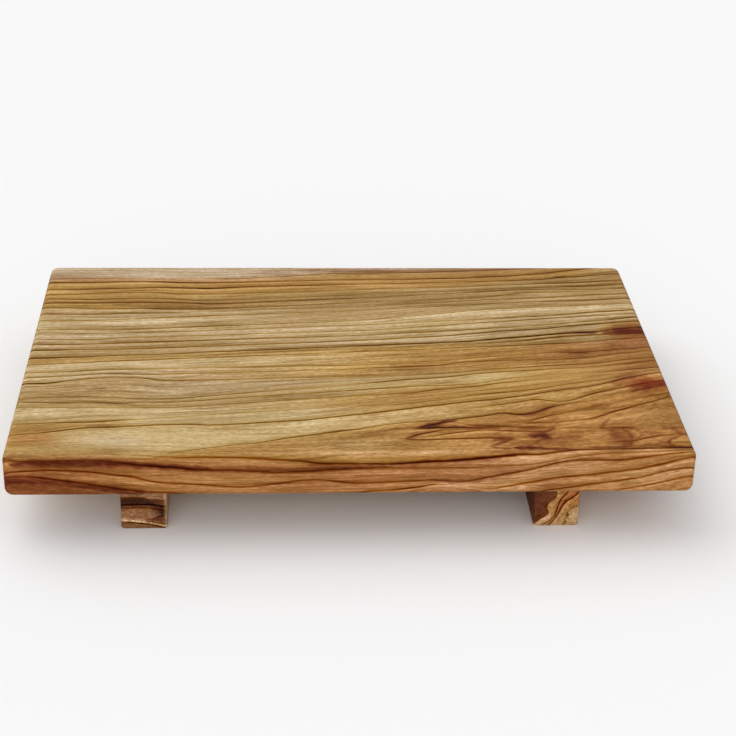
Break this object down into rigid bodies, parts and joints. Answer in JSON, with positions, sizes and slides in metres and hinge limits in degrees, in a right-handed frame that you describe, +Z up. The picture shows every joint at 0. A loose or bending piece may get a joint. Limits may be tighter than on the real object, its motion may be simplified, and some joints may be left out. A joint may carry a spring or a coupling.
{
  "type": "sushi geta board",
  "caption": "Rectangular olive-wood serving board with eased edges, standing on cross runners that are dowelled and glued under it.",
  "frame": {"origin": "on the table surface, under the middle of the board", "axes": "+X along the board, +Y from the front to the back, +Z up"},
  "size_m": [0.3, 0.2, 0.04],
  "materials": {
    "olive_plank": "oiled olive wood, satin",
    "olive_runner": "oiled olive wood, satin",
    "beech_dowel": "plain beech, fluted"
  },
  "bodies": {
    "root": {"plank": "olive_plank", "left_runner": "olive_runner", "left_runner_front_dowel": "beech_dowel", "left_runner_middle_dowel": "beech_dowel", "left_runner_back_dowel": "beech_dowel", "right_runner": "olive_runner", "right_runner_front_dowel": "beech_dowel", "right_runner_middle_dowel": "beech_dowel", "right_runner_back_dowel": "beech_dowel"}
  },
  "joints": []
}
